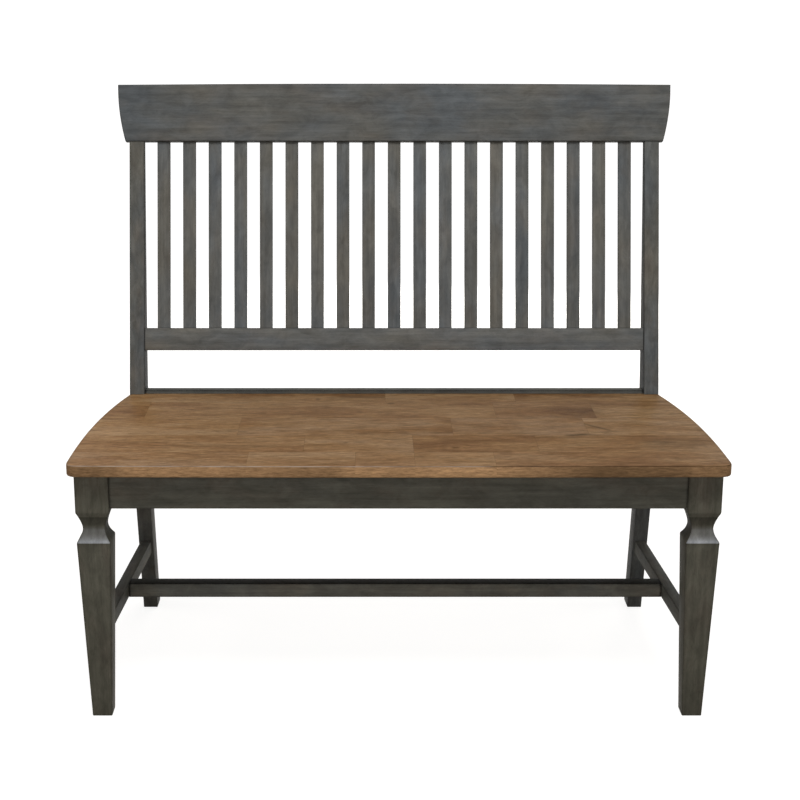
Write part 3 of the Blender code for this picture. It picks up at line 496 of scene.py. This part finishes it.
def blot(shader, x, depth, along, behind, length, width, turn):
    """Soft mark, 1 in its middle and 0 away from it."""
    sine, cosine = math.sin(math.radians(turn)), math.cos(math.radians(turn))
    off_x = shader.math("SUBTRACT", x, along)
    off_y = shader.math("SUBTRACT", depth, behind)
    lengthwise = shader.math("MULTIPLY_ADD", off_x, cosine, shader.product(off_y, sine))
    crosswise = shader.math("MULTIPLY_ADD", off_y, cosine, shader.product(off_x, -sine))
    far = shader.math("ADD",
                      shader.math("POWER", shader.product(lengthwise, 1 / length), 4.0),
                      shader.math("POWER", shader.product(crosswise, 1 / width), 2.0))
    return shader.math("EXPONENT", shader.product(far, -1.0))


def seat_grain_place(shader, x, y, z, depth, dice):
    """Place in the stave's own figure, where the knots push the grain aside."""
    across = y
    for along, behind, size in SEAT_KNOTS:
        length, width = (size * reach for reach in KNOT_REACH)
        near_knot = blot(shader, x, depth, along, behind, length, width, 0)
        off_knot = shader.math("SUBTRACT", depth, behind)
        across = shader.math("MULTIPLY_ADD", shader.product(off_knot, near_knot), KNOT_PUSH, across)
    shift = shader.vector("MULTIPLY", dice, STAVE_SHIFT)
    return shader.vector("ADD", shader.join(x, across, z), shift)


def front_zones(shader, y, z):
    """Shares of the front edge's strip of the seat, of the edge itself and of the arris over it."""
    below_top = shader.math("SUBTRACT", SEAT_HIGH.z, z)
    behind_front = shader.math("SUBTRACT", y, SEAT_LOW.y)
    at_front = shader.spread(behind_front, *FRONT_END, 1.0, 0.0)
    on_edge = shader.product(shader.spread(below_top, *EDGE_START), at_front)
    on_arris = shader.product(shader.spread(below_top, *ARRIS_START),
                              shader.spread(below_top, *EDGE_START, 1.0, 0.0), at_front)
    return at_front, on_edge, on_arris


def seat_tone(shader, lightness, layers):
    """Tone of the stain, from the stave's lightness and the broad layers of its figure."""
    tone = shader.math("MULTIPLY_ADD", lightness, TONE_OF_STAVE, TONE_START)
    for layer, low, high, share in TONE_OF_LAYERS:
        tone = shader.math("MULTIPLY_ADD", shader.spread(layers[layer], low, high), share, tone)
    return tone


def seat_haze_and_sheen(shader, dice, cloud, depth):
    """Share of the haze on the seat's top, in clouds per stave, with a painted sheen that grows towards
    the front.
    """
    haze_and_sheen = shader.product(shader.split(dice)[1], shader.spread(cloud, *HAZE_CLOUDS))
    return shader.math("ADD", haze_and_sheen, shader.spread(depth, *PAINTED_SHEEN_DEPTHS), clamp=True)


def seat_top_factor(shader, x, depth, layers, pore, glue):
    """Fine figure, knots and other marks of the seat's top, and how light it is along the bench: partly
    the stain, partly painted light.
    """
    factor = shader.product(
        *(shader.spread(layers[layer], *contrast) for layer, contrast in SEAT_CONTRAST.items()),
        shader.spread(pore, 0.0, 1.0, 1.0, SEAT_PORE_SHADE),
        shader.spread(layers["mineral"], *MINERAL_DARK, smooth=True),
        shader.spread(layers["mineral"], *MINERAL_PALE, smooth=True),
        # lightness along the bench: partly the stain, partly painted light
        shader.product(shader.grade(x, SEAT_STAIN_AND_LIGHT), SEAT_STAIN_AND_LIGHT_LIGHTEST),
        shader.spread(depth, *DEPTH_TONE),
        glue)
    for *mark, darkness in SEAT_MARKS:
        shade = shader.product(blot(shader, x, depth, *mark), -darkness)
        factor = shader.math("MULTIPLY_ADD", shade, factor, factor)
    return factor


def seat_edge_factor(shader, x, place):
    """Finer figure of the front edge, and how the stain came out along it."""
    noise = shader.noise(shader.vector("MULTIPLY", place, EDGE_FIGURE), EDGE_DETAIL, EDGE_NOISE_ROUGHNESS)
    return shader.product(shader.spread(noise, *EDGE_CONTRAST),
                          shader.product(shader.grade(x, EDGE_TONE), EDGE_TONE_LIGHTEST))


def arris_highlight(shader, x):
    """Share of the painted highlight on the front arris: in patches on the left, hardly on the right."""
    noise = shader.noise(shader.join(x, 0.0, 0.0), ARRIS_HIGHLIGHT_DETAIL, scale=ARRIS_HIGHLIGHT_SCALE)
    return shader.product(shader.spread(noise, *ARRIS_HIGHLIGHT_RANGE), shader.grade(x, ARRIS_HIGHLIGHT_SHARE))


def seat_wood(name):
    """Brown stain on staves that run along the bench, each with its own tone and figure."""
    shader = Shader(name)
    x, y, z = shader.split(shader.place())
    depth = shader.math("SUBTRACT", SEAT_HIGH.y, y)
    lightness, number, seam = seat_staves(shader, x, depth)
    dice = shader.node("ShaderNodeTexWhiteNoise", {"W": number}, noise_dimensions="1D").outputs["Color"]
    place = seat_grain_place(shader, x, y, z, depth, dice)
    layers = wood_layers(shader, place, SEAT_FIGURE)
    pore = shader.spread(layers["pore"], *PORE_RANGE)
    glue = shader.spread(seam, *GLUE_LINE)
    at_front, on_edge, on_arris = front_zones(shader, y, z)

    tone = shader.blend(on_edge, seat_tone(shader, lightness, layers), EDGE_LEVEL)
    # Haze in clouds per stave, with a painted sheen towards the front
    haze_and_sheen = shader.blend(on_edge, seat_haze_and_sheen(shader, dice, layers["cloud"], depth), EDGE_HAZE)
    colour = shader.mix(haze_and_sheen, shader.ramp(tone, SEAT_TONES), SEAT_HAZE_AND_SHEEN)

    top_factor = seat_top_factor(shader, x, depth, layers, pore, glue)
    factor = shader.blend(on_edge, top_factor, seat_edge_factor(shader, x, place))
    arris_shade = shader.blend(on_arris, 1.0, shader.spread(x, *ARRIS_SHADE))
    arrises = darker_arrises(shader, SEAT_ARRIS_SHADE, SEAT_ARRIS_REACH)
    behind_shade = shader.blend(at_front, arrises, 1.0)
    colour = shader.scaled(colour, shader.product(factor, arris_shade, behind_shade))
    # Painted highlight along the rounded front arris
    colour = shader.mix(shader.product(on_arris, arris_highlight(shader, x)), colour, ARRIS_HIGHLIGHT_COLOUR)

    shader.feed(shader.bsdf.inputs["Base Color"], colour)
    finish_wood(shader, layers, pore, SEAT_GLOSS, SEAT_ROUGHNESS, glue)
    return shader.material


# Zinc-plated screws

ZINC_SCALE = 900.0                           # noise per metre
ZINC_DETAIL = 3.0
ZINC_NOISE_ROUGHNESS = 0.6
ZINC_TONES = ((0.3, (0.50, 0.50, 0.47)), (0.7, (0.66, 0.66, 0.65)))
ZINC_ROUGHNESS = (0.3, 0.7, 0.28, 0.42)      # noise low and high, then the roughness at both
ZINC_BUMP = (0.2, 0.0001)                    # strength, and depth in metres


def zinc_steel(name):
    shader = Shader(name)
    place = shader.scaled(shader.place(), ZINC_SCALE)
    patch = shader.noise(place, ZINC_DETAIL, ZINC_NOISE_ROUGHNESS)
    shader.feed(shader.bsdf.inputs["Base Color"], shader.ramp(patch, ZINC_TONES))
    shader.bsdf.inputs["Metallic"].default_value = 1.0
    shader.feed(shader.bsdf.inputs["Roughness"], shader.spread(patch, *ZINC_ROUGHNESS))
    shader.bump(patch, *ZINC_BUMP)
    return shader.material


# Smooth shading of the curved faces, with the arrises kept crisp

SMOOTH_ANGLE = math.radians(35)
WELD_DISTANCE = 0.00001


def smoothing_group():
    """Modifier group that joins neighbouring faces and shades all but the sharp edges smooth."""
    group = bpy.data.node_groups.new("smooth_curves", "GeometryNodeTree")
    group.interface.new_socket("Geometry", in_out="INPUT", socket_type="NodeSocketGeometry")
    group.interface.new_socket("Geometry", in_out="OUTPUT", socket_type="NodeSocketGeometry")
    nodes, links = group.nodes, group.links
    start = nodes.new("NodeGroupInput")
    weld = nodes.new("GeometryNodeMergeByDistance")
    weld.inputs["Distance"].default_value = WELD_DISTANCE
    faces = nodes.new("GeometryNodeSetShadeSmooth")
    faces.domain = "FACE"
    edges = nodes.new("GeometryNodeSetShadeSmooth")
    edges.domain = "EDGE"
    edges.inputs["Shade Smooth"].default_value = False
    angle = nodes.new("GeometryNodeInputMeshEdgeAngle")
    sharp = nodes.new("FunctionNodeCompare")
    sharp.operation = "GREATER_THAN"
    sharp.inputs[1].default_value = SMOOTH_ANGLE
    end = nodes.new("NodeGroupOutput")
    links.new(start.outputs[0], weld.inputs["Geometry"])
    links.new(weld.outputs[0], faces.inputs["Geometry"])
    links.new(faces.outputs[0], edges.inputs["Geometry"])
    links.new(angle.outputs["Unsigned Angle"], sharp.inputs[0])
    links.new(sharp.outputs[0], edges.inputs["Selection"])
    links.new(edges.outputs[0], end.inputs[0])
    return group


def dress(name, material, smoothing):
    node = NODES[name]
    node.data.materials.clear()
    node.data.materials.append(material)
    modifier = node.modifiers.new("smooth_curves", "NODES")
    modifier.node_group = smoothing


def dress_all():
    smoothing = smoothing_group()
    for name in sorted(NODES):
        if name == "seat":
            material = seat_wood(name + "_wood")
        elif "screw" in name:
            material = zinc_steel(name + "_zinc")
        else:
            kind = next(kind for kind in FRAME_LOOKS if name.startswith(kind))
            material = frame_wood(name + "_wood", kind)
        dress(name, material, smoothing)


# Floor, world, lights and camera

def seen_directly(tree):
    """1 for what the camera sees directly, in gloss or through glass, 0 for light that falls on things."""
    path = tree.nodes.new("ShaderNodeLightPath")
    total = path.outputs["Is Camera Ray"]
    for output in ("Is Glossy Ray", "Is Transmission Ray"):
        either = tree.nodes.new("ShaderNodeMath")
        either.operation = "MAXIMUM"
        tree.links.new(total, either.inputs[0])
        tree.links.new(path.outputs[output], either.inputs[1])
        total = either.outputs[0]
    return total


def make_floor():
    bpy.ops.mesh.primitive_plane_add(size=FLOOR_SIZE, location=(0, 0, 0))
    floor = bpy.context.object
    floor.name = "floor"
    shader = Shader("pale_floor")
    shader.bsdf.inputs["Base Color"].default_value = FLOOR_COLOUR
    shader.bsdf.inputs["Roughness"].default_value = FLOOR_ROUGHNESS
    glow = shader.node("ShaderNodeEmission", {"Color": (1, 1, 1, 1)})
    away = shader.node("ShaderNodeVectorMath", {0: shader.place()}, operation="LENGTH").outputs["Value"]
    strength = shader.spread(away, *FLOOR_FADE, FLOOR_GLOW, 1.0)
    shader.feed(glow.inputs["Strength"], shader.product(seen_directly(shader.tree), strength))
    both = shader.node("ShaderNodeAddShader", {0: shader.bsdf.outputs[0], 1: glow.outputs[0]})
    shader.feed(shader.output.inputs["Surface"], both.outputs[0])
    floor.data.materials.append(shader.material)


def make_world():
    world = bpy.data.worlds.new("studio")
    bpy.context.scene.world = world
    world.use_nodes = True
    tree = world.node_tree
    background = tree.nodes["Background"]
    background.inputs["Color"].default_value = (1.0, 1.0, 1.0, 1.0)
    strength = tree.nodes.new("ShaderNodeMapRange")
    strength.inputs["To Min"].default_value = WORLD_FILL
    strength.inputs["To Max"].default_value = 1.0
    tree.links.new(seen_directly(tree), strength.inputs["Value"])
    tree.links.new(strength.outputs[0], background.inputs["Strength"])


def area_light(name, place, target, size, power, glossy):
    data = bpy.data.lights.new(name, "AREA")
    data.shape = "RECTANGLE"
    data.size, data.size_y = size
    data.energy = power
    light = bpy.data.objects.new(name, data)
    bpy.context.scene.collection.objects.link(light)
    light.location = place
    light.rotation_euler = (Vector(target) - Vector(place)).to_track_quat("-Z", "Y").to_euler()
    light.visible_camera = False
    light.visible_glossy = glossy


def make_camera():
    data = bpy.data.cameras.new("camera")
    data.sensor_width = SENSOR
    data.lens = CAMERA_FOCAL_PIXELS / PICTURE * SENSOR
    data.shift_x = (PICTURE / 2 - CAMERA_CENTRE[0]) / PICTURE
    data.shift_y = (CAMERA_CENTRE[1] - PICTURE / 2) / PICTURE
    camera = bpy.data.objects.new("camera", data)
    bpy.context.scene.collection.objects.link(camera)
    camera.location = (CAMERA_SIDE, FRONT - CAMERA_BACK, CAMERA_HEIGHT)
    camera.rotation_euler = (math.radians(90 - CAMERA_PITCH), 0, 0)
    bpy.context.scene.camera = camera


dress_all()
make_floor()
make_world()
for lamp in LAMPS:
    area_light(*lamp)
make_camera()
bpy.context.scene.view_settings.view_transform = "Standard"
